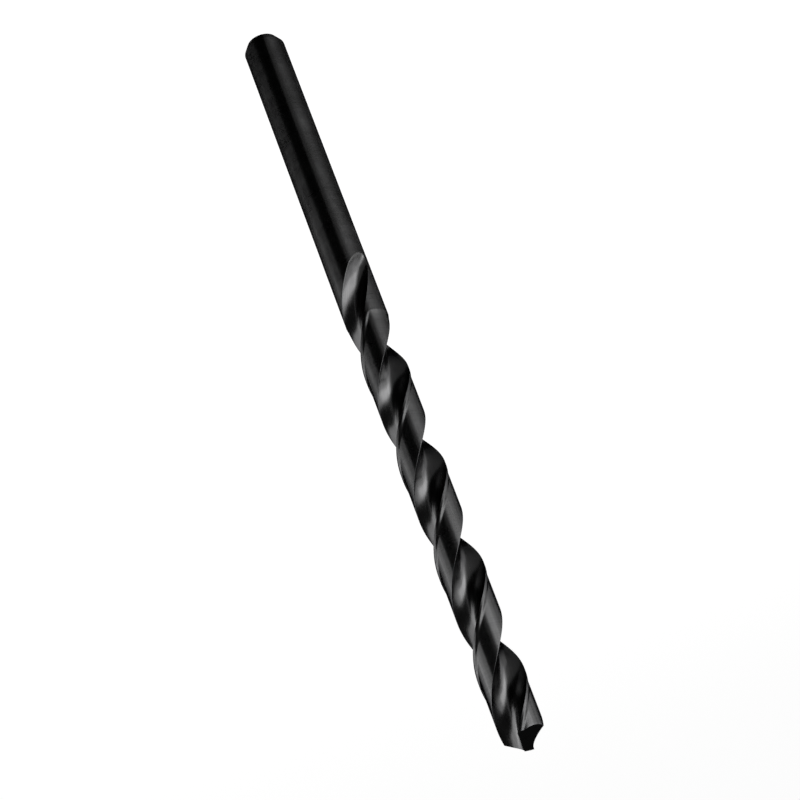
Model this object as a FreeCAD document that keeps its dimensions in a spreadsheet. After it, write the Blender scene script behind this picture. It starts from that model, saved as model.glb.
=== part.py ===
"""Twist drill bit: one piece of ground and blackened high-speed steel.

The drill stands on the flat end of its shank, with its point up.  Z is the drill's
axis, z = 0 is the shank's end face and z = overall_length is the chisel edge.
Lengths are in millimetres and angles in degrees.
"""
import FreeCAD, Part
import Sketcher
import math
import os

Vector = FreeCAD.Vector
NODE = "twist_drill"
PARTS_FOLDER = "parts"
FULL_TURN = 360
FLUTES = 2

DRIVING_SIZES = [
    ("overall_length", 88.9, "shank end to chisel edge"),
    ("drill_diameter", 4.76, "of the fluted body, across its margins"),
    ("shank_diameter", 4.74, "of the plain shank, a trace thinner than the body"),
    ("shank_taper_length", 1.5, "stretch just below the flutes over which the body thins to the shank"),
    ("flute_length", 57.4, "chisel edge to the end of the flutes' run-out"),
    ("flute_lead", 23.4, "advance of a flute in one full turn, right-hand"),
    ("flute_angle", 101.0, "from a leading edge across the flute to the next heel"),
    ("floor_angle", 55.0, "from a leading edge to the flute's deepest line"),
    ("web_thickness", 0.96, "core between the flutes, at the point"),
    ("web_growth_angle", 0.08, "slope of the flute's floor towards the shank"),
    ("runout_length", 12.2, "stretch over which a flute rises to the surface"),
    ("runout_swing", 50.0, "how far the leading edge swings over on the run-out"),
    ("runout_floor_swing", 12.0, "how far the deepest line swings over on the run-out"),
    ("runout_hollow", 0.05, "how far the last of a flute is hollowed below a flat"),
    ("margin_width", 0.44, "full-diameter strip behind the leading edge"),
    ("clearance_depth", 0.12, "how far the land lies below its margin"),
    ("clearance_length", 49.0, "chisel edge to where the cleared land starts to rise"),
    ("clearance_runout_length", 1.6, "stretch over which the cleared land rises to full diameter"),
    ("point_angle", 118.0, "between the two lips"),
    ("lip_relief", 11.0, "fall of the flank just behind its lip"),
    ("flank_radius", 7.4, "roundness of the flank behind the lip"),
    ("shank_chamfer_width", 0.62, "chamfer at the shank's end, across"),
    ("shank_chamfer_length", 1.05, "chamfer at the shank's end, along the axis"),
    ("cutter_clearance", 0.15, "how far each cut reaches outside the steel"),
    ("heel_overlap", 15.0, "how far the land's cut runs on past the heel, into the flute"),
]

DERIVED_SIZES = [
    ("radius", "drill_diameter / 2"),
    ("shank_radius", "shank_diameter / 2"),
    ("cutter_radius", "radius + cutter_clearance"),
    ("half_web", "web_thickness / 2"),
    ("half_point", "point_angle * 1 deg / 2"),
    ("lip_angle", "asin(half_web / radius)"),
    ("lip_reach", "sqrt(radius ^ 2 - half_web ^ 2)"),
    ("flank_center_back", "half_web + flank_radius * sin(lip_relief)"),
    ("flank_center_drop", "flank_radius * cos(lip_relief)"),
    ("axis_flank_drop", "flank_center_drop - sqrt(flank_radius ^ 2 - flank_center_back ^ 2)"),
    ("corner_height", "overall_length - lip_reach / tan(half_point) + axis_flank_drop / sin(half_point)"),
    ("stock_height", "overall_length + radius"),
    ("runout_end", "overall_length - flute_length"),
    ("runout_start", "runout_end + runout_length"),
    ("shank_length", "runout_end - shank_taper_length"),
    ("web_growth", "(corner_height - runout_start) * tan(web_growth_angle)"),
    ("runout_end_width", "(flute_angle - floor_angle - runout_floor_swing) * 1 deg"),
    ("runout_end_depth", "radius * (1 - cos(runout_end_width)) + runout_hollow"),
    ("clearance_end", "overall_length - clearance_length"),
    ("land_front", "-margin_width / radius * 180 deg / pi"),
    ("land_back", "(flute_angle - 180 - heel_overlap) * 1 deg"),
    ("flank_tilt", "90 deg - half_point"),
    ("flank_cut_height", "2 * (stock_height - corner_height)"),
]

# Stations of the run-out, as shares of its length, closer together where its blunt end closes.
RUNOUT_SHARES = [0.0, 0.1, 0.2, 0.3, 0.4, 0.5, 0.6, 0.7, 0.8, 0.87, 0.92, 0.95, 0.975, 0.99]
BLUNT_END_FROM = 0.92
SWING_POWER = 1.6
RISE_POWER = 2.0
CLEARANCE_SHARES = [0.0, 0.5, 1.0]


def flute_formulas(share):
    """Formulas of one flute section: its height and turn, and its two arcs.

    The rake arc runs from the web to the leading corner and the back arc from the web
    to the heel corner, both corners on the drill's own radius.  Both arcs touch the
    web's circle at the floor angle, so their centres lie on the floor's ray, at the
    web radius plus the arc's own radius.  In the names, @ stands for the station.
    """
    blunt = max(0.0, (share - BLUNT_END_FROM) / (1.0 - BLUNT_END_FROM))
    closing = math.sqrt(1.0 - blunt ** 2)
    swing = share ** SWING_POWER
    rise = share ** RISE_POWER
    middle = f"(runout_swing + flute_angle) / 2 * {1.0 - closing}"
    depth = f"((radius - half_web - web_growth) * {1.0 - rise} + runout_end_depth * {rise})"
    arc_radius = ("(radius ^ 2 + web_@ ^ 2 - 2 * radius * web_@ * cos({0}))"
                  " / (2 * (radius * cos({0}) - web_@))")
    return {
        "height": f"runout_start - runout_length * {share}",
        "turn": "lip_angle + (height_@ - corner_height) / flute_lead * 360 deg",
        "web": f"radius - {depth} * {closing}",
        "leading": f"(runout_swing * {swing * closing} + {middle}) * 1 deg",
        "floor": f"((floor_angle + runout_floor_swing * {rise}) * {closing} + {middle}) * 1 deg",
        "heel": f"(flute_angle * {closing} + {middle}) * 1 deg",
        "rake_radius": arc_radius.format("floor_@ - leading_@"),
        "back_radius": arc_radius.format("heel_@ - floor_@"),
    }


def land_formulas(share):
    """Formulas of one section of the cleared land: its height, turn and inner radius."""
    return {
        "land_height": f"clearance_end - clearance_runout_length * {share}",
        "land_turn": "lip_angle + (land_height_@ - corner_height) / flute_lead * 360 deg",
        "land_radius": f"radius - clearance_depth + (clearance_depth + cutter_clearance / 2) * {share}",
    }


def make_sheet(document):
    """The spreadsheet of driving dimensions, what follows from them and the sections' stations."""
    sheet = document.addObject("Spreadsheet::Sheet", "sizes")
    rows = [(alias, str(size), note) for alias, size, note in DRIVING_SIZES]
    rows += [(alias, "=" + formula, "") for alias, formula in DERIVED_SIZES]
    for shares, formulas in ((RUNOUT_SHARES, flute_formulas), (CLEARANCE_SHARES, land_formulas)):
        for station, share in enumerate(shares):
            for alias, formula in formulas(share).items():
                rows.append((f"{alias}_{station}", "=" + formula.replace("@", str(station)), ""))
    for row, (alias, content, note) in enumerate(rows, start=1):
        sheet.set(f"A{row}", alias)
        sheet.set(f"B{row}", content)
        sheet.setAlias(f"B{row}", alias)
        sheet.set(f"C{row}", note)
    document.recompute()
    return sheet


def number(owner, formula):
    """What a formula comes to, as a plain number."""
    result = owner.evalExpression(formula)
    return float(getattr(result, "Value", result))


def origin_plane(body, role):
    """One of the body's own three base planes."""
    return next(feature for feature in body.Origin.OriginFeatures if feature.Role == role)


def new_sketch(body, name, role):
    """An empty sketch on one of the body's base planes."""
    sketch = body.newObject("Sketcher::SketchObject", name)
    sketch.AttachmentSupport = [(origin_plane(body, role), "")]
    sketch.MapMode = "FlatFace"
    return sketch


def dimension(sketch, kind, places, formula):
    """Adds one dimension to a sketch and binds it to a formula."""
    index = sketch.addConstraint(Sketcher.Constraint(kind, *places, number(sketch, formula)))
    name = f"{kind}{index}"
    sketch.renameConstraint(index, name)
    sketch.setExpression(f"Constraints.{name}", formula)


ORIGIN = (-1, 1)
START = 1
END = 2
CENTER = 3


def pin(sketch, edge, end, across, along):
    """Holds a point of the sketch at two distances from its origin."""
    dimension(sketch, "DistanceX", (*ORIGIN, edge, end), across)
    dimension(sketch, "DistanceY", (*ORIGIN, edge, end), along)


def join(sketch, edge, end, other, other_end):
    """Makes two points of the sketch one."""
    sketch.addConstraint(Sketcher.Constraint("Coincident", edge, end, other, other_end))


def add_arc(sketch, center, radius, start, end):
    """An arc that runs counter-clockwise between two angles in radians."""
    circle = Part.Circle(Vector(*center, 0), Vector(0, 0, 1), radius)
    return sketch.addGeometry(Part.ArcOfCircle(circle, start, end), False)


def add_line(sketch, start, end):
    """A straight line between two points."""
    return sketch.addGeometry(Part.LineSegment(Vector(*start, 0), Vector(*end, 0)), False)


def set_on_axis(sketch, height, turn):
    """Lifts a sketch of the base plane to a height and turns it about the drill's axis."""
    rotation = FreeCAD.Rotation(Vector(0, 0, 1), number(sketch, turn))
    sketch.AttachmentOffset = FreeCAD.Placement(Vector(), rotation)
    sketch.setExpression("AttachmentOffset.Base.z", height)
    sketch.setExpression("AttachmentOffset.Rotation.Angle", turn)


def make_blank(body):
    """The round blank: chamfered shank end, plain shank and the slightly thicker body."""
    profile = new_sketch(body, "blank_profile", "XZ_Plane")
    corners = [
        ("sizes.shank_radius - sizes.shank_chamfer_width", None),
        ("sizes.shank_radius", "sizes.shank_chamfer_length"),
        ("sizes.shank_radius", "sizes.shank_length"),
        ("sizes.radius", "sizes.runout_end"),
        ("sizes.radius", "sizes.stock_height"),
        (None, "sizes.stock_height"),
        (None, None),
    ]
    places = [[number(profile, formula) if formula else 0.0 for formula in corner] for corner in corners]
    count = len(corners)
    for index in range(count):
        add_line(profile, places[index], places[(index + 1) % count])
    for index, (across, along) in enumerate(corners):
        join(profile, index, START, (index - 1) % count, END)
        if across:
            dimension(profile, "DistanceX", (*ORIGIN, index, START), across)
        else:
            profile.addConstraint(Sketcher.Constraint("PointOnObject", index, START, -2))
        if along:
            dimension(profile, "DistanceY", (*ORIGIN, index, START), along)
        else:
            profile.addConstraint(Sketcher.Constraint("PointOnObject", index, START, -1))
    blank = body.newObject("PartDesign::Revolution", "blank")
    blank.Profile = profile
    blank.ReferenceAxis = (profile, ["V_Axis"])
    blank.Angle = FULL_TURN
    return blank


def make_flute_section(body, station):
    """The cutter's outline at one station: rake arc, outside arc and back arc."""
    sketch = new_sketch(body, f"flute_section_{station}", "XY_Plane")

    def size(alias):
        return f"sizes.{alias}_{station}"

    set_on_axis(sketch, size("height"), size("turn"))
    floor = math.radians(number(sketch, size("floor")))
    outside = number(sketch, "sizes.cutter_radius")
    centers, ends = [], []
    for name in ("rake_radius", "back_radius"):
        radius = number(sketch, size(name))
        reach = number(sketch, size("web")) + radius
        opening = math.acos((reach ** 2 + outside ** 2 - radius ** 2) / (2 * reach * outside))
        centers.append((radius, (reach * math.cos(floor), reach * math.sin(floor))))
        ends.append(opening)
    (rake_radius, rake_center), (back_radius, back_center) = centers
    first, last = floor - ends[0], floor + ends[1]

    def direction(center, angle):
        return math.atan2(outside * math.sin(angle) - center[1], outside * math.cos(angle) - center[0])

    rake = add_arc(sketch, rake_center, rake_radius, floor + math.pi, direction(rake_center, first))
    outer = add_arc(sketch, (0.0, 0.0), outside, first, last)
    back = add_arc(sketch, back_center, back_radius, direction(back_center, last), floor + math.pi)
    join(sketch, rake, END, outer, START)
    join(sketch, outer, END, back, START)
    join(sketch, back, END, rake, START)
    join(sketch, outer, CENTER, *ORIGIN)
    dimension(sketch, "Radius", (outer,), "sizes.cutter_radius")
    places = [
        (rake, START, size("web")),
        (rake, CENTER, f"({size('web')} + {size('rake_radius')})"),
        (back, CENTER, f"({size('web')} + {size('back_radius')})"),
    ]
    for edge, point, reach in places:
        pin(sketch, edge, point, f"{reach} * cos({size('floor')})", f"{reach} * sin({size('floor')})")
    return sketch


def cut_along_helix(body, name, profile, height, slope="0"):
    """Sweeps a cut up the drill's axis from its profile, with the flutes' lead."""
    cut = body.newObject("PartDesign::SubtractiveHelix", name)
    cut.Profile = profile
    cut.ReferenceAxis = (profile, ["N_Axis"])
    cut.Mode = "pitch-height-angle"
    cut.setExpression("Pitch", "sizes.flute_lead")
    cut.setExpression("Height", height)
    cut.setExpression("Angle", slope)
    return cut


def cut_through_sections(body, name, sections):
    """A smooth cut through sections that lie one below the other."""
    cut = body.newObject("PartDesign::SubtractiveLoft", name)
    cut.Profile = sections[0]
    cut.Sections = sections[1:]
    cut.Ruled = False
    return cut


def make_flute(body):
    """One flute: the helical cut up to the point, and its run-out towards the shank."""
    sections = [make_flute_section(body, station) for station in range(len(RUNOUT_SHARES))]
    height = "sizes.stock_height - sizes.runout_start"
    flute = cut_along_helix(body, "flute", sections[0], height, "-sizes.web_growth_angle")
    return [flute, cut_through_sections(body, "flute_runout", sections)]


def make_land_section(body, station):
    """The outline that is cleared behind the margin: a sector of a ring."""
    sketch = new_sketch(body, f"land_section_{station}", "XY_Plane")
    set_on_axis(sketch, f"sizes.land_height_{station}", f"sizes.land_turn_{station}")
    inside = f"sizes.land_radius_{station}"
    inner_radius = number(sketch, inside)
    outer_radius = number(sketch, "sizes.cutter_radius")
    back = math.radians(number(sketch, "sizes.land_back"))
    front = math.radians(number(sketch, "sizes.land_front"))

    def at(radius, angle):
        return (radius * math.cos(angle), radius * math.sin(angle))

    inner = add_arc(sketch, (0.0, 0.0), inner_radius, back, front)
    outer = add_arc(sketch, (0.0, 0.0), outer_radius, back, front)
    back_side = add_line(sketch, at(inner_radius, back), at(outer_radius, back))
    front_side = add_line(sketch, at(inner_radius, front), at(outer_radius, front))
    for edge, radius in ((inner, inside), (outer, "sizes.cutter_radius")):
        join(sketch, edge, CENTER, *ORIGIN)
        dimension(sketch, "Radius", (edge,), radius)
    sides = [(back_side, START, "sizes.land_back"), (front_side, END, "sizes.land_front")]
    for side, end, angle in sides:
        join(sketch, side, START, inner, end)
        join(sketch, side, END, outer, end)
        sketch.addConstraint(Sketcher.Constraint("PointOnObject", *ORIGIN, side))
        dimension(sketch, "Angle", (side,), angle)
    return sketch


def make_land_clearance(body):
    """The cut that leaves a narrow margin at full diameter behind the leading edge."""
    sections = [make_land_section(body, station) for station in range(len(CLEARANCE_SHARES))]
    height = "sizes.stock_height - sizes.clearance_end"
    clearance = cut_along_helix(body, "land_clearance", sections[0], height)
    return [clearance, cut_through_sections(body, "clearance_runout", sections)]


def make_flank(body):
    """The ground flank behind one lip: straight along the lip and round across it.

    The sketch lies square to the lip, with its origin level with the lip's outer
    corner, its x axis along Y and its y axis away from the point's surface.
    """
    sketch = new_sketch(body, "flank_section", "YZ_Plane")
    tilt = FreeCAD.Rotation(Vector(1, 0, 0), number(sketch, "sizes.flank_tilt"))
    sketch.AttachmentOffset = FreeCAD.Placement(Vector(), tilt)
    sketch.setExpression("AttachmentOffset.Base.y", "sizes.corner_height")
    sketch.setExpression("AttachmentOffset.Base.z", "sizes.lip_reach")
    sketch.setExpression("AttachmentOffset.Rotation.Angle", "sizes.flank_tilt")
    radius = number(sketch, "sizes.flank_radius")
    center = (number(sketch, "sizes.flank_center_back"), -number(sketch, "sizes.flank_center_drop"))
    side = number(sketch, "sizes.cutter_radius")
    top = number(sketch, "sizes.flank_cut_height")

    def on_arc(across):
        return math.atan2(math.sqrt(radius ** 2 - (across - center[0]) ** 2), across - center[0])

    def arc_point(across):
        angle = on_arc(across)
        return (across, center[1] + radius * math.sin(angle))

    arc = add_arc(sketch, center, radius, on_arc(side), on_arc(-side))
    left = add_line(sketch, arc_point(-side), (-side, top))
    lid = add_line(sketch, (-side, top), (side, top))
    right = add_line(sketch, (side, top), arc_point(side))
    join(sketch, arc, END, left, START)
    join(sketch, left, END, lid, START)
    join(sketch, lid, END, right, START)
    join(sketch, right, END, arc, START)
    dimension(sketch, "Radius", (arc,), "sizes.flank_radius")
    pin(sketch, arc, CENTER, "sizes.flank_center_back", "-sizes.flank_center_drop")
    pin(sketch, lid, START, "-sizes.cutter_radius", "sizes.flank_cut_height")
    pin(sketch, lid, END, "sizes.cutter_radius", "sizes.flank_cut_height")
    sketch.addConstraint(Sketcher.Constraint("Vertical", left))
    sketch.addConstraint(Sketcher.Constraint("Vertical", right))
    flank = body.newObject("PartDesign::Pocket", "flank")
    flank.Profile = sketch
    flank.Type = "ThroughAll"
    flank.SideType = "Symmetric"
    return [flank]


def make_drill(document):
    """The whole drill: its blank, then one flute, land and flank, repeated about the axis."""
    body = document.addObject("PartDesign::Body", NODE)
    body.Label = NODE
    make_blank(body)
    document.recompute()
    cuts = make_flute(body)
    document.recompute()
    cuts += make_land_clearance(body)
    document.recompute()
    cuts += make_flank(body)
    document.recompute()
    pattern = body.newObject("PartDesign::PolarPattern", "both_flutes")
    pattern.Originals = cuts
    pattern.Axis = (document.getObject("blank_profile"), ["V_Axis"])
    pattern.Angle = FULL_TURN
    pattern.Occurrences = FLUTES
    body.Tip = pattern
    document.recompute()
    return body


def check(document, bodies):
    """Stops with a message where an object failed or a shape is unsound."""
    failed = [item.Name for item in document.Objects if {"Invalid", "Error"} & set(item.State)]
    if failed:
        raise RuntimeError("failed objects: " + ", ".join(failed))
    for body in bodies:
        shape = body.Shape
        if shape.isNull() or not shape.isValid() or len(shape.Solids) != 1:
            raise RuntimeError(f"{body.Label} isn't one sound solid")


def main():
    document = FreeCAD.newDocument(NODE)
    make_sheet(document)
    drill = make_drill(document)
    check(document, [drill])
    os.makedirs(PARTS_FOLDER, exist_ok=True)
    drill.Shape.exportStep(os.path.join(PARTS_FOLDER, drill.Label + ".step"))
    box = drill.Shape.optimalBoundingBox()
    print(f"{drill.Label}: volume {drill.Shape.Volume:.2f} mm3, {len(drill.Shape.Faces)} faces, "
          f"height {box.ZMin:.3f} to {box.ZMax:.3f}")


main()
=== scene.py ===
"""Looks of the twist drill bit: its ground and blackened surface, with floor, lamps and camera.

The drill's surface is one closed mesh.  The rows of its side run from the middle of the
shank's end face, up the shank and the fluted body and over the rounded edges of the
point; its columns run round the drill and follow the flutes' helix.  Two more grids, the
point's wings, cover the flanks from those edges to the chisel edge.  Sizes are in
millimetres until the points are put into the mesh, which is in metres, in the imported
model's frame.
"""

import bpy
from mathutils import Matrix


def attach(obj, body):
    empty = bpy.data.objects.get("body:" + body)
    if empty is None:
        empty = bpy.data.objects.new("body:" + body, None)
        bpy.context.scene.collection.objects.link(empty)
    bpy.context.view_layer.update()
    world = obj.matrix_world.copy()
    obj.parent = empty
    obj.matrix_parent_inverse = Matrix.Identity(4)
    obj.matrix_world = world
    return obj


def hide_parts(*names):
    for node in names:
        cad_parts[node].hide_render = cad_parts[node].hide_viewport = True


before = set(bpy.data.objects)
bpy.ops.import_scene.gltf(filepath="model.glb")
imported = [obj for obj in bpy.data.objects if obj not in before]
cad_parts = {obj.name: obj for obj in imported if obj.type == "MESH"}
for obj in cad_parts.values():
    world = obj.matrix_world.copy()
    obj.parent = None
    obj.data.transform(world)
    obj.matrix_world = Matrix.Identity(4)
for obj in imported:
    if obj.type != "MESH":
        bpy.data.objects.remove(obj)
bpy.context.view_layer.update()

import math

import bpy
import mathutils
import numpy as np

MM = 0.001

# The drill's own sizes, the same as in its construction
LENGTH = 88.9
RADIUS = 2.38
SHANK_RADIUS = 2.37
SHANK_TOP = 30.0
CHAMFER_WIDTH = 0.62
CHAMFER_LENGTH = 1.05
RUNOUT_END = 31.5
RUNOUT_LENGTH = 12.2
LEAD = 23.4
FLOOR_ANGLE = math.radians(55.0)
HEEL_ANGLE = math.radians(101.0)
HALF_WEB = 0.48
SWING_POWER = 1.6
LAND_DEPTH = 0.12
HALF_POINT = math.radians(59.0)
RELIEF = math.radians(11.0)
FLANK_RADIUS = 7.4

# Sizes that were fitted again to the photo's lit and dark bands, a little off the construction's
LEADING_CLOSING = math.radians(4.5)
HEEL_CLOSING = math.radians(2.5)
WEB_SLOPE = math.tan(math.radians(0.42))
RUNOUT_SWING = math.radians(47.0)
FLOOR_SWING = math.radians(14.0)
HEEL_SWING = math.radians(5.0)
RISE_POWER = 2.75
END_DEPTH = 0.19
BLUNT_FROM = 0.87
LEAST_OPENNESS = 1e-3
MARGIN_WIDTH = 0.26
MARGIN_STEP = 0.42
LAND_END = 39.0
LAND_RUNOUT = 1.2
LAND_CORNER = 0.45

# How far each wall of a flute lies outside its arc: two thirds of the way out, the same at
# the run-out's end, and halfway out
RAKE_WIDE, RUNOUT_RAKE_WIDE, RAKE_LOW = 0.02, 0.0, -0.035
HEEL_WIDE, RUNOUT_HEEL_WIDE, HEEL_LOW = -0.07, 0.03, -0.055

# What follows from the sizes
RUNOUT_TOP = RUNOUT_END + RUNOUT_LENGTH
BLUNT_TOP = RUNOUT_TOP - RUNOUT_LENGTH * BLUNT_FROM
MIDDLE_ANGLE = (RUNOUT_SWING + LEADING_CLOSING + HEEL_ANGLE - HEEL_CLOSING + HEEL_SWING) / 2
STEP_ANGLE = (MARGIN_WIDTH + MARGIN_STEP) / RADIUS
LIP_ANGLE = math.asin(HALF_WEB / RADIUS)
LIP_REACH = math.sqrt(RADIUS ** 2 - HALF_WEB ** 2)
AXIS_DROP = FLANK_RADIUS * math.cos(RELIEF) - math.sqrt(
    FLANK_RADIUS ** 2 - (HALF_WEB + FLANK_RADIUS * math.sin(RELIEF)) ** 2)
CORNER_HEIGHT = LENGTH - LIP_REACH / math.tan(HALF_POINT) + AXIS_DROP / math.sin(HALF_POINT)

# How far the ground edges are rounded over
LIP_EDGE = 0.018
MARGIN_EDGE = 0.022
HEEL_EDGE = 0.035
SHANK_EDGE = 0.06
# Half the gap between the columns beside the chisel edge's end, as a share of a wall
CHISEL_EDGE = 0.008
# Strip beside an edge whose tone is painted lighter, partly as worn oxide and partly as a painted
# highlight, and stretch over which it fades in above the flute's blunt end
WORN_AND_HIGHLIGHT_WIDTH = 0.09
WORN_AND_HIGHLIGHT_FADE = 0.6
# Depth below the blank from which the flute's blunt end counts as cut
CUT_DEPTH = 0.003
FAR = 1e3

# Columns of one half: steps from the bend, where the chisel edge ends, out to the middle of
# an edge's fillet, and from there across the land; the land's columns on the margin
WALL_STEPS = 24
LAND_STEPS = 40
MARGIN_COLUMNS = 12
FILLET = 5
HALF_COLUMNS = 2 * WALL_STEPS + LAND_STEPS
COLUMNS = 2 * HALF_COLUMNS
ARC_STEPS = WALL_STEPS - FILLET // 2
LEADING_CORNER = FILLET // 2
FIRST_WALL = FILLET - 1
BEND_COLUMN = FIRST_WALL + ARC_STEPS
LAST_WALL = BEND_COLUMN + ARC_STEPS
HEEL_CORNER = BEND_COLUMN + WALL_STEPS
FIRST_LAND = LAST_WALL + FILLET

# Rows: radii on the end face, heights on the shank and its taper, and steps in the body's
# blunt end, up to the land's end, over it, up to the full flutes, along them and to the point
FACE_RADII = [0.0, 0.3, 0.7, 1.1, 1.4, 1.6]
CHAMFER_SHARES = [0.25, 0.5, 0.75]
SHANK_HEIGHTS = [1.3, 1.8, 2.6, *np.linspace(4.0, SHANK_TOP, 14)]
TAPER_HEIGHTS = [30.4, 30.8, 31.2, 31.4, RUNOUT_END]
BLUNT_STEPS = 23
STEP_LOW, STEP_TOP = LAND_END - 0.15, LAND_END + LAND_CORNER + 0.3
LEVEL_TOP = 84.6
BODY_STEPS = [(BLUNT_TOP, STEP_LOW, 27), (STEP_LOW, STEP_TOP, 30),
              (STEP_TOP, RUNOUT_TOP, 21), (RUNOUT_TOP, LEVEL_TOP, 164)]
POINT_STEPS = 15
# Height of the row whose way round the drill gives the flat map's first coordinate
MAP_HEIGHT = 60.0

# Rounds in which the point's rim, the chisel edge's end and its line are found, and how far
# the last two are looked for, as a share of a wall and in radians
RIM_ROUNDS = 40
BEND_ROUNDS, BEND_SPAN = 12, 0.3
HALVINGS, CHISEL_SPAN = 50, 0.6

# Decimals, in millimetres, to which points have to agree to be made one
SAME_PLACE = 4

# Numbers of the mesh's materials
ROUND_GROUND, FLUTE_GROUND, POINT_GROUND = range(3)


def smooth(x):
    """Smooth step: zero below 0, one above 1, and 3x^2 - 2x^3 between."""
    x = np.clip(x, 0.0, 1.0)
    return x * x * (3.0 - 2.0 * x)


def bezier(start, corner, end, share):
    """Point of the quadratic curve from start to end that is pulled towards the corner."""
    return (1 - share) ** 2 * start + 2 * share * (1 - share) * corner + share ** 2 * end


def body_radius(height):
    """Radius of the round blank: the shank's, widening a trace to the body's below the flutes."""
    return np.interp(height, [SHANK_TOP, RUNOUT_END], [SHANK_RADIUS, RADIUS])


def turn(height):
    """Turn of the flute section: one full turn per lead, and none on the shank."""
    return LIP_ANGLE + (np.maximum(height, RUNOUT_END) - CORNER_HEIGHT) / LEAD * 2 * math.pi


def flute_law(height):
    """Leading, floor and heel angle, web radius and openness of a flute at a height.

    Down to the run-out both edges close in evenly, as the web grows thicker.  With x
    the share of the run-out already passed on the way down, the leading edge swings by
    x^1.6, the floor rises and swings by x^2.75 and the heel opens smoothly, up to the
    blunt end.  Over that last stretch all widths and the depth shrink by the openness,
    sqrt(1 - b^2), with b its own share.
    """
    share = np.clip((RUNOUT_TOP - height) / RUNOUT_LENGTH, 0.0, 1.0)
    blunt = np.clip((share - BLUNT_FROM) / (1.0 - BLUNT_FROM), 0.0, 1.0)
    openness = np.maximum(np.sqrt(1.0 - blunt ** 2), LEAST_OPENNESS)
    rise = share ** RISE_POWER
    core = HALF_WEB + (CORNER_HEIGHT - np.maximum(height, RUNOUT_TOP)) * WEB_SLOPE
    web = RADIUS - ((RADIUS - core) * (1.0 - rise) + END_DEPTH * rise) * openness
    closing = np.clip((CORNER_HEIGHT - height) / (CORNER_HEIGHT - RUNOUT_TOP), 0.0, 1.0)
    leading = LEADING_CLOSING * closing + RUNOUT_SWING * share ** SWING_POWER
    floor = FLOOR_ANGLE + FLOOR_SWING * rise
    heel = HEEL_ANGLE - HEEL_CLOSING * closing + HEEL_SWING * smooth(share / BLUNT_FROM)
    middle = MIDDLE_ANGLE * (1.0 - openness)
    leading, floor, heel = (angle * openness + middle for angle in (leading, floor, heel))
    return leading, floor, heel, web, openness


def arc_radius(web, opening):
    """Radius of the arc that touches the web circle and reaches the drill's radius at its end."""
    reach = RADIUS * np.cos(opening)
    return (RADIUS ** 2 + web ** 2 - 2 * web * reach) / (2 * (reach - web))


def land_fall(behind, height):
    """Depth of the cleared land, by the distance in millimetres behind the leading edge.

    Full depth behind the margin's soft step.  It rises to the land's end along the
    wheel's round, 1 - (1 - s)^2, and that end bends up along a quarter circle at the margin.
    """
    across = smooth((behind - MARGIN_WIDTH) / MARGIN_STEP)
    near = np.clip(1.0 - (behind - MARGIN_WIDTH) / LAND_CORNER, 0.0, 1.0)
    end = LAND_END + LAND_CORNER * (1.0 - np.sqrt(1.0 - near ** 2))
    along = 1.0 - (1.0 - np.clip((height - end) / LAND_RUNOUT, 0.0, 1.0)) ** 2
    return LAND_DEPTH * across * along


def wall_hollow(share, wide, low):
    """How far a wall lies outside its arc, by its share of the way from floor to corner.

    6.75 s^2 (1 - s) is largest two thirds of the way out, and 16 s^2 (1 - s)^2 halfway.
    """
    return wide * 6.75 * share ** 2 * (1 - share) + low * 16 * share ** 2 * (1 - share) ** 2


def wall_columns(bend):
    """Places of one flute's wall columns: -1 at the leading corner, 0 at the floor, 1 at the heel.

    They are even from each corner to the bend, where the chisel edge's end lies, with
    the last two close beside it, so that the chisel edge stays crisp.
    """
    front = np.linspace(-1.0, bend - CHISEL_EDGE, ARC_STEPS)
    back = np.linspace(bend + CHISEL_EDGE, 1.0, ARC_STEPS)
    return np.concatenate([front, [bend], back])


def wall_points(place, height):
    """Points of a flute's wall as complex numbers: on the wall, at its corner and on the land.

    A point of an arc is its centre on the floor's ray less the arc's radius, and the
    wall's hollow, turned by its own angle.  The corner is where the arc meets the
    land's circle, and the last point is where the corner's rounding ends on the land.
    """
    leading, floor, heel, web, openness = flute_law(height)
    is_rake = place < 0
    margin_radius = body_radius(height)
    land_width = (math.pi - heel + leading) * RADIUS
    heel_radius = margin_radius - land_fall(land_width, height)
    edge = np.where(is_rake, margin_radius, heel_radius)
    radius = np.where(is_rake, arc_radius(web, floor - leading), arc_radius(web, heel - floor))
    rounding = np.where(is_rake, MARGIN_EDGE, HEEL_EDGE) * openness
    center = web + radius
    corner = np.arccos((center ** 2 + radius ** 2 - edge ** 2) / (2 * center * radius))
    side = np.where(is_rake, 1.0, -1.0)
    angle = np.abs(place) * (corner - rounding / radius)
    runout = np.clip((RUNOUT_TOP - height) / RUNOUT_LENGTH, 0.0, 1.0)
    wide = np.where(is_rake, RAKE_WIDE + (RUNOUT_RAKE_WIDE - RAKE_WIDE) * runout,
                    HEEL_WIDE + (RUNOUT_HEEL_WIDE - HEEL_WIDE) * runout)
    low = np.where(is_rake, RAKE_LOW, HEEL_LOW) * (1.0 - runout)
    hollow = wall_hollow(np.abs(place), wide, low) * openness
    floor_ray = np.exp(1j * floor)
    on_wall = (center - (radius + hollow) * np.exp(1j * side * angle)) * floor_ray
    at_corner = (center - radius * np.exp(1j * side * corner)) * floor_ray
    on_land = at_corner * np.exp(-1j * side * rounding / edge)
    return on_wall, at_corner, on_land


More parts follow.
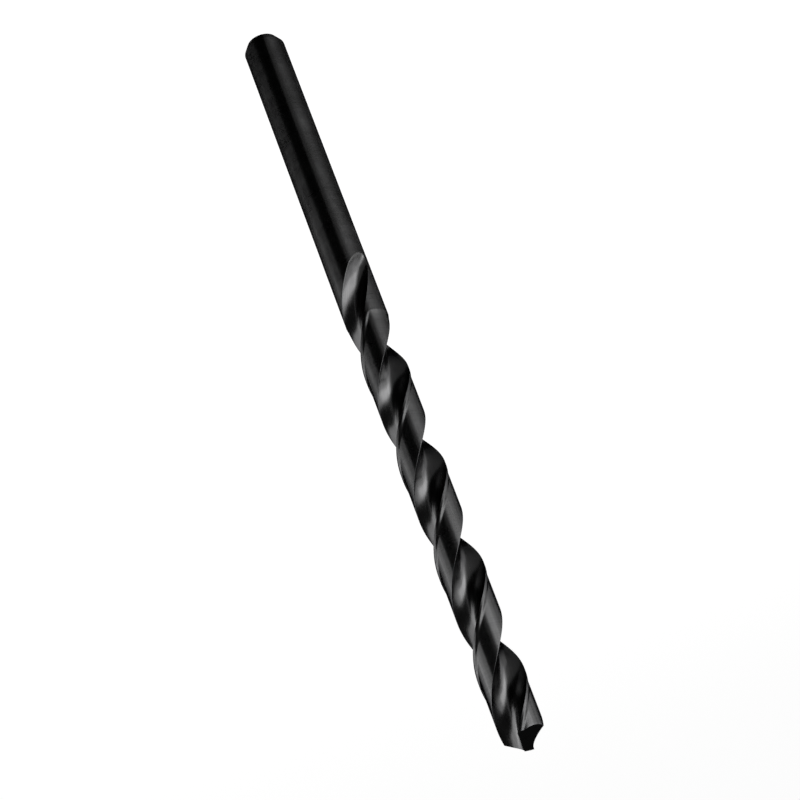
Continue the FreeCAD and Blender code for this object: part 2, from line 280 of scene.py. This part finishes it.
def land_angles(height):
    """Angles of the land's columns: even up to the margin's step, then even to the next flute."""
    start = np.angle(wall_points(np.ones(height.shape), height)[2])
    end = np.angle(wall_points(-np.ones(height.shape), height)[2]) + math.pi
    end = np.where(end < start, end + 2 * math.pi, end)
    step = flute_law(height)[0] + math.pi - STEP_ANGLE
    plain_columns = height.shape[1] - MARGIN_COLUMNS
    plain = np.arange(1, plain_columns + 1) / (plain_columns + 1)
    margin = np.linspace(0.0, 1.0, MARGIN_COLUMNS + 1)[:-1]
    return np.concatenate([
        start[:, :plain_columns] + (step - start)[:, :plain_columns] * plain,
        step[:, plain_columns:] + (end - step)[:, plain_columns:] * margin,
    ], axis=1)


def open_section(height, bend):
    """Points of half a section as complex numbers, for heights of shape (rows, columns of a half).

    In order round the drill: the leading edge's fillet, the rake wall, the heel wall, the
    heel edge's fillet and the land.  A fillet is a quadratic curve about the corner, and
    the land is the blank's circle, less its clearance.
    """
    points = np.zeros(height.shape, complex)
    share = np.linspace(0.0, 1.0, FILLET)

    z = height[:, FIRST_WALL:LAST_WALL + 1]
    points[:, FIRST_WALL:LAST_WALL + 1] = wall_points(wall_columns(bend)[None, :], z)[0]
    z = height[:, :FILLET]
    on_wall, at_corner, on_land = wall_points(-np.ones(z.shape), z)
    points[:, :FILLET] = bezier(on_land, at_corner, on_wall, share)
    z = height[:, LAST_WALL:FIRST_LAND]
    on_wall, at_corner, on_land = wall_points(np.ones(z.shape), z)
    points[:, LAST_WALL:FIRST_LAND] = bezier(on_wall, at_corner, on_land, share)

    z = height[:, FIRST_LAND:]
    angle = land_angles(z)
    behind = (flute_law(z)[0] + math.pi - angle) * RADIUS
    points[:, FIRST_LAND:] = (body_radius(z) - land_fall(behind, z)) * np.exp(1j * angle)
    return points


def half_section(height, bend):
    """Points of half a section, with the shank and the flutes' blunt end.

    There the columns keep the angles that they have where the blunt end begins, and
    their radius is read off the narrowed section, so that the grid stays even where
    the end cuts across it.
    """
    points = open_section(height, bend)
    level = height[:, 0]
    kept_section = open_section(np.full((1, height.shape[1]), BLUNT_TOP), bend)[0]
    angle = np.unwrap(np.angle(kept_section))
    for row in np.flatnonzero(level < BLUNT_TOP):
        blank = body_radius(level[row])
        radius = np.full(angle.shape, blank)
        if level[row] > RUNOUT_END:
            narrow_angle = np.unwrap(np.angle(points[row]))
            radius = np.interp(angle, narrow_angle, np.abs(points[row]), left=blank, right=blank)
        points[row] = radius * np.exp(1j * angle)
    return points


def body_points(height, bend):
    """Points of the body for heights of shape (rows, all columns), turned along the helix."""
    first, second = height[:, :HALF_COLUMNS], height[:, HALF_COLUMNS:]
    flat = np.concatenate([half_section(first, bend), -half_section(second, bend)], axis=1)
    flat = flat * np.exp(1j * turn(height))
    return np.stack([flat.real, flat.imag, height], axis=-1)


def flank_height(x, y):
    """Height of the flank behind the lip at +x.

    It falls with the point's slope along the lip and, across it, along a circle that
    starts with the relief's slope.
    """
    back = HALF_WEB - y + FLANK_RADIUS * math.sin(RELIEF)
    circle = np.sqrt(np.maximum(FLANK_RADIUS ** 2 - back ** 2, 0.0))
    fall = FLANK_RADIUS * math.cos(RELIEF) - circle
    return CORNER_HEIGHT + (LIP_REACH - x) / math.tan(HALF_POINT) - fall / math.sin(HALF_POINT)


def flank_gap(x, y):
    """How far one flank lies above the other, which is the same a half turn on."""
    return flank_height(x, y) - flank_height(-x, -y)


def point_height(x, y):
    """Height of the point's surface: the lower of the two flanks."""
    return np.minimum(flank_height(x, y), flank_height(-x, -y))


def top_heights(bend):
    """Height at which each column of the body meets the point, by repeated substitution."""
    height = np.full((1, COLUMNS), CORNER_HEIGHT)
    for _ in range(RIM_ROUNDS):
        place = body_points(height, bend)
        height = point_height(place[..., 0], place[..., 1])
    return height


def find_bend():
    """Wall place at which the two flanks are level where they meet a flute: the chisel edge's end.

    Each round puts the bend's columns where the last one found it, and reads it off again.
    """
    bend = 0.0
    for _ in range(BEND_ROUNDS):
        wall = body_points(top_heights(bend), bend)[0, FIRST_WALL:LAST_WALL + 1]
        gap = flank_gap(wall[:, 0], wall[:, 1])
        columns = wall_columns(bend)
        near = np.abs(columns - bend) < BEND_SPAN
        order = np.argsort(gap[near])
        bend = float(np.interp(0.0, gap[near][order], columns[near][order]))
    return bend


def chisel_line(start, shares):
    """Points of the chisel edge, from one end to the other, where both flanks are level.

    At each distance from the axis the angle is found by halving an interval.
    """
    distance = (1 - 2 * shares) * abs(start)
    low = np.full(distance.shape, np.angle(start) - CHISEL_SPAN)
    high = np.full(distance.shape, np.angle(start) + CHISEL_SPAN)

    def gap(angle):
        return flank_gap(distance * np.cos(angle), distance * np.sin(angle)) * np.sign(distance)

    rising = gap(high) > gap(low)
    for _ in range(HALVINGS):
        middle = (low + high) / 2
        above = (gap(middle) > 0) == rising
        high = np.where(above, middle, high)
        low = np.where(above, low, middle)
    return distance * np.exp(1j * (low + high) / 2)


def rim_columns(half):
    """Numbers of the columns round one wing of the point: back wall, rim and front wall."""
    steps = np.arange(WALL_STEPS + 1)
    back = half * HALF_COLUMNS + BEND_COLUMN + steps
    rim = half * HALF_COLUMNS + HEEL_CORNER + np.arange(LAND_STEPS + 1)
    front = (half + 1) * HALF_COLUMNS + BEND_COLUMN - steps
    return back % COLUMNS, rim % COLUMNS, front % COLUMNS


def run_shares(points):
    """Shares of the length passed at each point of a line."""
    length = np.concatenate([[0.0], np.cumsum(np.abs(np.diff(points)))])
    return length / length[-1]


def wing_grid(half, ring):
    """One wing of the point between the chisel edge and the rim, as a grid of 3-D points.

    A Coons patch: the sum of the two ways of drawing straight lines between opposite
    borders, less the bilinear patch of the corners, laid on the point's surface.
    """
    flat = ring[:, 0] + 1j * ring[:, 1]
    back, rim, front = (flat[columns] for columns in rim_columns(half))
    out = ((run_shares(back) + run_shares(front)) / 2)[:, None]
    across = run_shares(rim)
    across = ((across + 1 - across[::-1]) / 2)[None, :]
    chisel = chisel_line(back[0], across[0])
    chisel[0], chisel[-1] = back[0], front[0]
    between_lines = (1 - out) * chisel[None, :] + out * rim[None, :]
    between_walls = (1 - across) * back[:, None] + across * front[:, None]
    corners = ((1 - out) * ((1 - across) * back[0] + across * front[0])
               + out * ((1 - across) * back[-1] + across * front[-1]))
    place = between_lines + between_walls - corners
    return np.stack([place.real, place.imag, point_height(place.real, place.imag)], axis=-1)


def wing_inside(wing):
    """The part of a wing inside the rounded edges: the side's last row lies on its border."""
    return wing[:WALL_STEPS, 1:LAND_STEPS]


def inner_points(wings):
    """For each column, the point of the flanks just inside the rounded edge."""
    inner = np.zeros((COLUMNS, 3))
    outward = np.minimum(np.arange(WALL_STEPS + 1), WALL_STEPS - 1)
    along = np.clip(np.arange(LAND_STEPS + 1), 1, LAND_STEPS - 1)
    for half, wing in enumerate(wings):
        back, rim, front = rim_columns(half)
        inner[front] = wing[outward, LAND_STEPS - 1]
        inner[back[1:]] = wing[outward[1:], 1]
        inner[rim] = wing[WALL_STEPS - 1, along]
    return inner


def shank_profile():
    """Radius and height of the rows from the middle of the end face up to the flutes' end."""
    slope = np.array([CHAMFER_WIDTH, CHAMFER_LENGTH]) / math.hypot(CHAMFER_WIDTH, CHAMFER_LENGTH)
    low = np.array([SHANK_RADIUS - CHAMFER_WIDTH, 0.0])
    high = np.array([SHANK_RADIUS, CHAMFER_LENGTH])
    across, up = np.array([1.0, 0.0]), np.array([0.0, 1.0])
    share = np.linspace(0.0, 1.0, FILLET)[:, None]
    face = np.array([(radius, 0.0) for radius in FACE_RADII])
    low_edge = bezier(low - SHANK_EDGE * across, low, low + SHANK_EDGE * slope, share)
    chamfer = low + (high - low) * np.array(CHAMFER_SHARES)[:, None]
    high_edge = bezier(high - SHANK_EDGE * slope, high, high + SHANK_EDGE * up, share)
    heights = np.concatenate([SHANK_HEIGHTS, TAPER_HEIGHTS])
    shank = np.stack([body_radius(heights), heights], axis=1)
    return np.concatenate([face, low_edge, chamfer, high_edge, shank])


def body_heights():
    """Heights of the body's level rows: even, but closer where the flutes and the land end.

    In the blunt end they go by the sine, so that its round outline is met by even steps.
    """
    angle = np.linspace(math.pi / 2, 0.0, BLUNT_STEPS + 1)[1:]
    blunt = BLUNT_TOP - (BLUNT_TOP - RUNOUT_END) * np.sin(angle)
    even = [np.linspace(low, high, steps + 1)[1:] for low, high, steps in BODY_STEPS]
    return np.concatenate([blunt] + even)


def drill_rows():
    """Rows of the drill's side, how many are shank, how many lie below the edges, and the wings.

    The rows end just inside the point's rounded edges.
    """
    bend = find_bend()
    profile = shank_profile()
    shank = body_points(np.repeat(profile[:, 1:], COLUMNS, axis=1), bend)
    shank[..., :2] *= (profile[:, 0] / body_radius(profile[:, 1]))[:, None, None]
    body = body_points(np.repeat(body_heights()[:, None], COLUMNS, axis=1), bend)
    top = top_heights(bend)
    share = np.linspace(0.0, 1.0, POINT_STEPS + 1)[1:, None]
    point = body_points(LEVEL_TOP + (top - LIP_EDGE - LEVEL_TOP) * share, bend)
    ring = body_points(top, bend)[0]
    wings = [wing_grid(half, ring) for half in range(2)]
    edge_share = np.linspace(0.0, 1.0, FILLET)[1:, None, None]
    edge = bezier(point[-1][None], ring[None], inner_points(wings)[None], edge_share)
    rows = np.concatenate([shank, body, point, edge])
    return rows, len(shank), len(rows) - len(edge), wings


def edge_closeness(rows, wings):
    """How near each point is to a ground edge: 1 on it, falling to 0 over the strip whose tone is
    painted lighter, as worn oxide and painted highlight.

    On the side the distance is taken round the row to the leading and heel corners, and
    up the column to the point's rim; on the wings it is taken out to the rim.
    """
    step = np.linalg.norm(np.diff(rows, axis=1, append=rows[:, :1]), axis=2)
    passed = np.cumsum(step, axis=1) - step
    around = passed[:, -1:] + step[:, -1:]
    nearest = np.full(rows.shape[:2], FAR)
    for corner in (LEADING_CORNER, HEEL_CORNER):
        for column in (corner, corner + HALF_COLUMNS):
            away = np.abs(passed - passed[:, column:column + 1])
            nearest = np.minimum(nearest, np.minimum(away, around - away))
    open_flute = smooth((rows[..., 2] - BLUNT_TOP) / WORN_AND_HIGHLIGHT_FADE)
    nearest += (1.0 - open_flute) * FAR
    rim = rows[-1 - FILLET // 2]
    nearest = np.minimum(nearest, np.linalg.norm(rows - rim[None], axis=2))
    chamfer = np.abs(rows[..., 2] - CHAMFER_LENGTH)
    face_gap = np.hypot(rows[..., 0], rows[..., 1]) - SHANK_RADIUS + CHAMFER_WIDTH
    nearest = np.minimum(nearest, np.minimum(chamfer, np.hypot(rows[..., 2], face_gap)))
    closeness = [np.clip(1.0 - nearest / WORN_AND_HIGHLIGHT_WIDTH, 0.0, 1.0).reshape(-1)]
    for wing in wings:
        borders = np.concatenate([wing[:, 0], wing[-1], wing[:, -1]])
        away = np.linalg.norm(wing_inside(wing)[:, :, None, :] - borders[None, None], axis=3)
        nearest = away.min(axis=2)
        closeness.append(np.clip(1.0 - nearest / WORN_AND_HIGHLIGHT_WIDTH, 0.0, 1.0).reshape(-1))
    return np.concatenate(closeness)


def grid_quads(numbers, outward):
    """Corner numbers of a grid's quads, counter-clockwise seen from outside."""
    first, second = numbers[:-1, :-1], numbers[:-1, 1:]
    third, fourth = numbers[1:, 1:], numbers[1:, :-1]
    order = (first, second, third, fourth) if outward else (first, fourth, third, second)
    return np.stack(order, axis=-1).reshape(-1, 4)


def side_regions(rows, shank_rows, side_rows):
    """Material number of each of the side's quads.

    A quad is the flute's between the middles of its edges' fillets, and in the blunt end
    only where its four corners together lie deep enough below the blank.
    """
    in_flute = np.arange(COLUMNS) % HALF_COLUMNS < FIRST_LAND - 1
    above_shank = np.arange(len(rows) - 1)[:, None] >= shank_rows - 1
    depth = body_radius(rows[..., 2]) - np.hypot(rows[..., 0], rows[..., 1])
    depth = depth[:-1] + depth[1:]
    depth = depth + np.roll(depth, -1, axis=1)
    cut = (rows[:-1, :, 2] > BLUNT_TOP) | (depth > 4 * CUT_DEPTH)
    region = np.where(in_flute & above_shank & cut, FLUTE_GROUND, ROUND_GROUND)
    region[side_rows - 1:] = POINT_GROUND
    return region.reshape(-1)


def side_map(rows):
    """Flat map of the side's quad corners: the way round the body, and the height."""
    middle = rows[np.searchsorted(rows[:, 0, 2], MAP_HEIGHT)]
    step = np.diff(np.concatenate([middle, middle[:1]]), axis=0)[:, :2]
    around = np.concatenate([[0.0], np.cumsum(np.linalg.norm(step, axis=1))])
    across = np.repeat(around[None, :], len(rows), axis=0)
    along = np.concatenate([rows[..., 2], rows[:, :1, 2]], axis=1)
    places = np.stack([across, along], axis=-1).reshape(-1, 2)
    return places[grid_quads(np.arange(across.size).reshape(across.shape), True)]


def build_drill(name):
    """The drill's mesh: its grids with equal points made one, and what falls together left out."""
    rows, shank_rows, side_rows, wings = drill_rows()
    numbers = np.arange(len(rows) * COLUMNS).reshape(len(rows), COLUMNS)
    points = [rows.reshape(-1, 3)]
    quads = [grid_quads(np.concatenate([numbers, numbers[:, :1]], axis=1), True)]
    regions = [side_regions(rows, shank_rows, side_rows)]
    maps = [side_map(rows)]
    start = numbers.size
    for wing in wings:
        inside = wing_inside(wing)
        flat = inside.reshape(-1, 3)
        corners = grid_quads(np.arange(len(flat)).reshape(inside.shape[:2]), False)
        points.append(flat)
        quads.append(corners + start)
        regions.append(np.full(len(corners), POINT_GROUND))
        maps.append(flat[corners][..., :2])
        start += len(flat)
    points, quads, regions, maps = map(np.concatenate, (points, quads, regions, maps))
    rubbed = edge_closeness(rows, wings)

    _, kept, merged = np.unique(np.round(points, SAME_PLACE), axis=0,
                                return_index=True, return_inverse=True)
    quads = merged.reshape(-1)[quads]
    fresh = quads != np.roll(quads, 1, axis=1)
    corners = fresh.sum(axis=1)
    crossed = (quads[:, 0] == quads[:, 2]) | (quads[:, 1] == quads[:, 3])
    sound = (corners >= 3) & ~crossed
    fresh &= sound[:, None]
    sizes = corners[sound]
    starts = np.concatenate([[0], np.cumsum(sizes)[:-1]])
    places = (points[kept] * MM).astype(np.float32)
    flat_map = maps[fresh].astype(np.float32)

    mesh = bpy.data.meshes.new(name)
    mesh.vertices.add(len(places))
    mesh.vertices.foreach_set("co", places.ravel())
    mesh.loops.add(len(flat_map))
    mesh.loops.foreach_set("vertex_index", quads[fresh].astype(np.int32))
    mesh.polygons.add(len(sizes))
    mesh.polygons.foreach_set("loop_start", starts.astype(np.int32))
    mesh.polygons.foreach_set("material_index", regions[sound].astype(np.int32))
    mesh.update(calc_edges=True)
    mesh.uv_layers.new(name="grinding").data.foreach_set("uv", flat_map.ravel())
    mesh.uv_layers.new(name="helix").data.foreach_set("uv", flat_map[:, ::-1].ravel())
    # Closeness to the ground edges, which paints their tone lighter: worn oxide and a painted
    # highlight
    closeness = mesh.attributes.new("rubbed", "FLOAT", "POINT")
    closeness.data.foreach_set("value", rubbed[kept].astype(np.float32))
    mesh.validate()
    mesh.shade_smooth()
    drill = bpy.data.objects.new(name, mesh)
    bpy.context.scene.collection.objects.link(drill)
    weighted = drill.modifiers.new("even_shading", "WEIGHTED_NORMAL")
    weighted.weight = 50
    return drill


# Tone of the edges, painted lighter as worn oxide and as a painted highlight; tint of the steel
# seen edge-on; height of the marks in metres
WORN_AND_HIGHLIGHT_STEEL = (0.085, 0.085, 0.088, 1.0)
EDGE_TONE = (0.12, 0.12, 0.12, 1.0)
MARK_DEPTH = 0.35e-6
# Scale of the oxide's clouds and grain and of the ring marks, per metre, and of the other
# marks on the flat map, per millimetre; then the share of it that the coarse marks have
CLOUD_SCALE, GRAIN_SCALE = 420.0, 9000.0
RING_MARKS = (300.0, 300.0, 26000.0)
HELIX_MARKS = (22.0, 0.35, 1.0)
FLANK_MARKS = (14.0, 0.9, 1.0)
COARSE_MARKS = (0.22, 0.22, 0.22)
# Turn of a highlight that spreads across its tangent instead of along it
QUARTER_TURN = 0.25


def new_material(name):
    """A new material, with a short way to add a node and one to set its shader's inputs.

    An input is named with _ for each space, or by its number, such as _0.  It gets
    either a link from the given output or the given value.
    """
    material = bpy.data.materials.new(name)
    material.use_nodes = True
    tree = material.node_tree

    def feed(node, inputs):
        for key, value in inputs.items():
            socket = node.inputs[int(key[1:]) if key[1:].isdigit() else key.replace("_", " ")]
            if isinstance(value, bpy.types.NodeSocket):
                tree.links.new(value, socket)
            else:
                socket.default_value = value

    def add(kind, settings=None, **inputs):
        node = tree.nodes.new("ShaderNode" + kind)
        for key, value in (settings or {}).items():
            setattr(node, key, value)
        feed(node, inputs)
        return node.outputs

    def shade(**inputs):
        feed(tree.nodes["Principled BSDF"], inputs)

    return material, add, shade


def blackened_steel(name, tone, roughness, marks, mottle, marks_on_map=True):
    """Ground high-speed steel with a satin black oxide.

    Fine grinding marks run along the direction in which their noise is stretched; they
    vary the roughness and give the bump.  Clouds of the oxide bath vary the tone, and
    the edges are painted a little lighter, in patches: partly worn oxide, partly a painted
    highlight.
    """
    material, add, shade = new_material(name)

    def noise(vector, scale, detail, fade):
        return add("TexNoise", Vector=vector, Scale=scale, Detail=detail, Roughness=fade)["Fac"]

    def spread(value, half_range, low, high):
        """The middle of a noise's range, spread from low to high."""
        return add("MapRange", Value=value, From_Min=0.5 - half_range, From_Max=0.5 + half_range,
                   To_Min=low, To_Max=high)["Result"]

    def combine(operation, *values):
        inputs = {f"_{number}": value for number, value in enumerate(values)}
        return add("Math", {"operation": operation}, **inputs)["Value"]

    place = add("TexCoord")["Object"]
    source = add("UVMap", {"uv_map": "grinding"})["UV"] if marks_on_map else place
    marks_place = add("Mapping", Vector=source, Scale=marks)["Vector"]
    fine = noise(marks_place, 1.0, 3.0, 0.6)
    coarse_place = add("Mapping", Vector=marks_place, Scale=COARSE_MARKS)["Vector"]
    coarse = noise(coarse_place, 1.0, 2.0, 0.5)
    clouds = noise(place, CLOUD_SCALE, 4.0, 0.6)
    grain = noise(place, GRAIN_SCALE, 2.0, 0.5)

    cloud_shade = spread(clouds, 0.2, 1.0 - mottle, 1.0 + mottle)
    mark_shade = spread(fine, 0.2, 0.86, 1.14)
    oxide_shade = combine("MULTIPLY", cloud_shade, mark_shade)
    oxide = add("VectorMath", {"operation": "SCALE"}, _0=tone, Scale=oxide_shade)["Vector"]
    # The edges' lighter tone is partly worn oxide and partly a painted highlight along the ground
    # edges
    rubbed = add("Attribute", {"attribute_name": "rubbed"})["Fac"]
    wear_and_highlight = combine("MULTIPLY", rubbed, spread(clouds, 0.15, 0.45, 1.0))
    colour = add("MixRGB", Fac=wear_and_highlight, Color1=oxide, Color2=WORN_AND_HIGHLIGHT_STEEL)["Color"]

    rough = spread(clouds, 0.25, roughness - 0.04, roughness + 0.04)
    rough = combine("ADD", rough, spread(coarse, 0.25, -0.03, 0.03))
    rough = combine("ADD", rough, spread(grain, 0.25, -0.02, 0.02))

    height = combine("MULTIPLY_ADD", coarse, 1.5, fine)
    height = combine("MULTIPLY_ADD", grain, 0.35, height)
    bump = add("Bump", Height=height, Strength=0.5, Distance=MARK_DEPTH)["Normal"]

    shade(Base_Color=colour, Roughness=rough, Normal=bump, Metallic=1.0, Specular_Tint=EDGE_TONE)
    return material, add, shade


def round_ground_steel(name, tone, roughness, anisotropy):
    """The shank and the lands: the marks are rings, so light spreads along the drill."""
    material, add, shade = blackened_steel(name, tone, roughness, RING_MARKS, mottle=0.12,
                                           marks_on_map=False)
    rings = add("Tangent", {"direction_type": "RADIAL", "axis": "Z"})["Tangent"]
    shade(Tangent=rings, Anisotropic=anisotropy, Anisotropic_Rotation=QUARTER_TURN)
    return material


def flute_ground_steel(name, tone, roughness, anisotropy):
    """The flutes: the wheel's marks follow the helix, so light spreads across them."""
    material, add, shade = blackened_steel(name, tone, roughness, HELIX_MARKS, mottle=0.15)
    helix = add("Tangent", {"direction_type": "UV_MAP", "uv_map": "helix"})["Tangent"]
    shade(Tangent=helix, Anisotropic=anisotropy, Anisotropic_Rotation=QUARTER_TURN)
    return material


def point_ground_steel(name, tone, roughness, anisotropy):
    """The point's two flanks: coarser marks straight across, from lip to heel."""
    material, add, shade = blackened_steel(name, tone, roughness, FLANK_MARKS, mottle=0.12)
    across = add("Tangent", {"direction_type": "UV_MAP", "uv_map": "helix"})["Tangent"]
    shade(Tangent=across, Anisotropic=anisotropy)
    return material


drill = build_drill("drill_surface")
for steel in (
    round_ground_steel("ground_black_oxide", tone=(0.063, 0.063, 0.0636),
                       roughness=0.30, anisotropy=0.91),
    flute_ground_steel("flute_black_oxide", tone=(0.069, 0.069, 0.0697),
                       roughness=0.22, anisotropy=0.30),
    point_ground_steel("point_black_oxide", tone=(0.055, 0.0552, 0.056),
                       roughness=0.28, anisotropy=0.30),
):
    drill.data.materials.append(steel)
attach(drill, "root")
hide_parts("twist_drill")

# Half the floor's side and its own white, as seen by the camera or a mirror
FLOOR_REACH = 3
FLOOR_WHITE = 0.95
# Inner radius of the flags, inside the drill's own, their height above the floor, and the
# points along their edge
FLAG_HOLE, FLAG_HEIGHT = 0.0018, 5e-5
FLAG_POINTS = 61


def floor_paper(name):
    """Seamless white paper: its own white adds to the lamps' light, direct or mirrored."""
    material, add, shade = new_material(name)
    fibre = add("TexNoise", Vector=add("TexCoord")["Object"], Scale=900.0, Detail=3.0)["Fac"]
    bump = add("Bump", Height=fibre, Strength=0.2, Distance=2e-5)["Normal"]
    path = add("LightPath")
    seen = path["Is Camera Ray"]
    for ray in ("Is Glossy Ray", "Is Transmission Ray"):
        seen = add("Math", {"operation": "MAXIMUM"}, _0=seen, _1=path[ray])["Value"]
    strength = add("Math", {"operation": "MULTIPLY"}, _0=seen, _1=FLOOR_WHITE)["Value"]
    shade(Base_Color=(0.35, 0.35, 0.35, 1.0), Roughness=0.9, Specular_IOR_Level=0.1, Normal=bump,
          Emission_Color=(1.0, 1.0, 1.0, 1.0), Emission_Strength=strength)
    return material


floor_mesh = bpy.data.meshes.new("floor")
floor_corners = [(-FLOOR_REACH, -FLOOR_REACH, 0), (FLOOR_REACH, -FLOOR_REACH, 0),
                 (FLOOR_REACH, FLOOR_REACH, 0), (-FLOOR_REACH, FLOOR_REACH, 0)]
floor_mesh.from_pydata(floor_corners, [], [(0, 1, 2, 3)])
floor = bpy.data.objects.new("floor", floor_mesh)
floor.data.materials.append(floor_paper("floor_paper"))
bpy.context.scene.collection.objects.link(floor)


def flag(name, start, end, middle, width, near, far, tone):
    """A cloth or card laid out round the drill, as a photographer does to keep ground steel dark.

    It lies on the floor between two directions, in degrees, and reaches out by
    near + far exp(-((direction - middle) / width)^4) metres.  Only mirrored rays meet
    it, so the floor stays plain from every side.
    """
    start, end, middle, width = (math.radians(angle) for angle in (start, end, middle, width))
    direction = np.linspace(start, end, FLAG_POINTS)
    edge = near + far * np.exp(-((direction - middle) / width) ** 4)
    out = np.stack([np.full(direction.shape, FLAG_HOLE), edge])
    height = np.full(out.shape, FLAG_HEIGHT)
    points = np.stack([out * np.cos(direction), out * np.sin(direction), height], axis=-1)
    numbers = np.arange(out.size).reshape(out.shape)
    mesh = bpy.data.meshes.new(name)
    mesh.from_pydata(points.reshape(-1, 3).tolist(), [], grid_quads(numbers, False).tolist())
    cloth = bpy.data.objects.new(name, mesh)
    material, _, shade = new_material(name + "_cloth")
    shade(Base_Color=(tone, tone, tone, 1.0), Roughness=1.0, Specular_IOR_Level=0.0)
    mesh.materials.append(material)
    bpy.context.scene.collection.objects.link(cloth)
    cloth.visible_camera = False
    cloth.visible_diffuse = False
    cloth.visible_shadow = False


flag("black_flag", start=-15, end=125, middle=15, width=42, near=0.085, far=0.80, tone=0.01)
flag("grey_flag", start=-120, end=-15, middle=-20, width=40, near=0.10, far=0.60, tone=0.48)


def softbox(name, azimuth, height, distance, size, light, lean=0):
    """A soft lamp beside the drill, facing its axis and leaning over in its own plane.

    Both angles are in degrees, and the camera doesn't see the lamp.  Its power gives the
    wanted irradiance at the drill: light times pi times the distance squared.
    """
    data = bpy.data.lights.new(name, "AREA")
    data.shape = "RECTANGLE"
    data.size, data.size_y = size
    data.energy = light * math.pi * distance ** 2
    lamp = bpy.data.objects.new(name, data)
    direction = math.radians(azimuth)
    away = mathutils.Vector((math.cos(direction), math.sin(direction), 0.0))
    lamp.location = distance * away + mathutils.Vector((0.0, 0.0, height))
    leaning = mathutils.Quaternion((0.0, 0.0, 1.0), math.radians(lean))
    lamp.rotation_euler = ((-away).to_track_quat("-Z", "Y") @ leaning).to_euler()
    lamp.visible_camera = False
    bpy.context.scene.collection.objects.link(lamp)


softbox("main_softbox", azimuth=-61, height=0.050, distance=0.19,
        size=(0.23, 0.25), light=2.8)
softbox("main_softbox_middle", azimuth=-54, height=0.072, distance=0.19,
        size=(0.11, 0.11), light=1.0)
softbox("side_softbox", azimuth=66, height=0.050, distance=0.20,
        size=(0.19, 0.23), light=2.35, lean=4)
softbox("right_softbox", azimuth=100, height=0.04, distance=0.25,
        size=(0.18, 0.14), light=1.0)
softbox("left_softbox", azimuth=-118, height=0.05, distance=0.25,
        size=(0.18, 0.16), light=0.8)

WORLD_LIGHT = 0.05
world = bpy.data.worlds.new("studio")
bpy.context.scene.world = world
world.use_nodes = True
background = world.node_tree.nodes["Background"]
background.inputs["Color"].default_value = (1, 1, 1, 1)
background.inputs["Strength"].default_value = WORLD_LIGHT

# The camera that was fitted to the drill's outline in the photo: metres and degrees
CAMERA_LENS = 91.379
CAMERA_PLACE = (0.189482, -0.003451, 0.143273)
CAMERA_TURN = (-61.9994, -18.5036, -100.5329)
camera_data = bpy.data.cameras.new("photo_camera")
camera_data.lens = CAMERA_LENS
camera_data.sensor_width = 36.0
camera_data.clip_start = 0.01
camera_data.clip_end = 20.0
camera = bpy.data.objects.new("photo_camera", camera_data)
camera.location = CAMERA_PLACE
camera.rotation_euler = [math.radians(angle) for angle in CAMERA_TURN]
bpy.context.scene.collection.objects.link(camera)
bpy.context.scene.camera = camera
bpy.context.scene.view_settings.view_transform = "Standard"
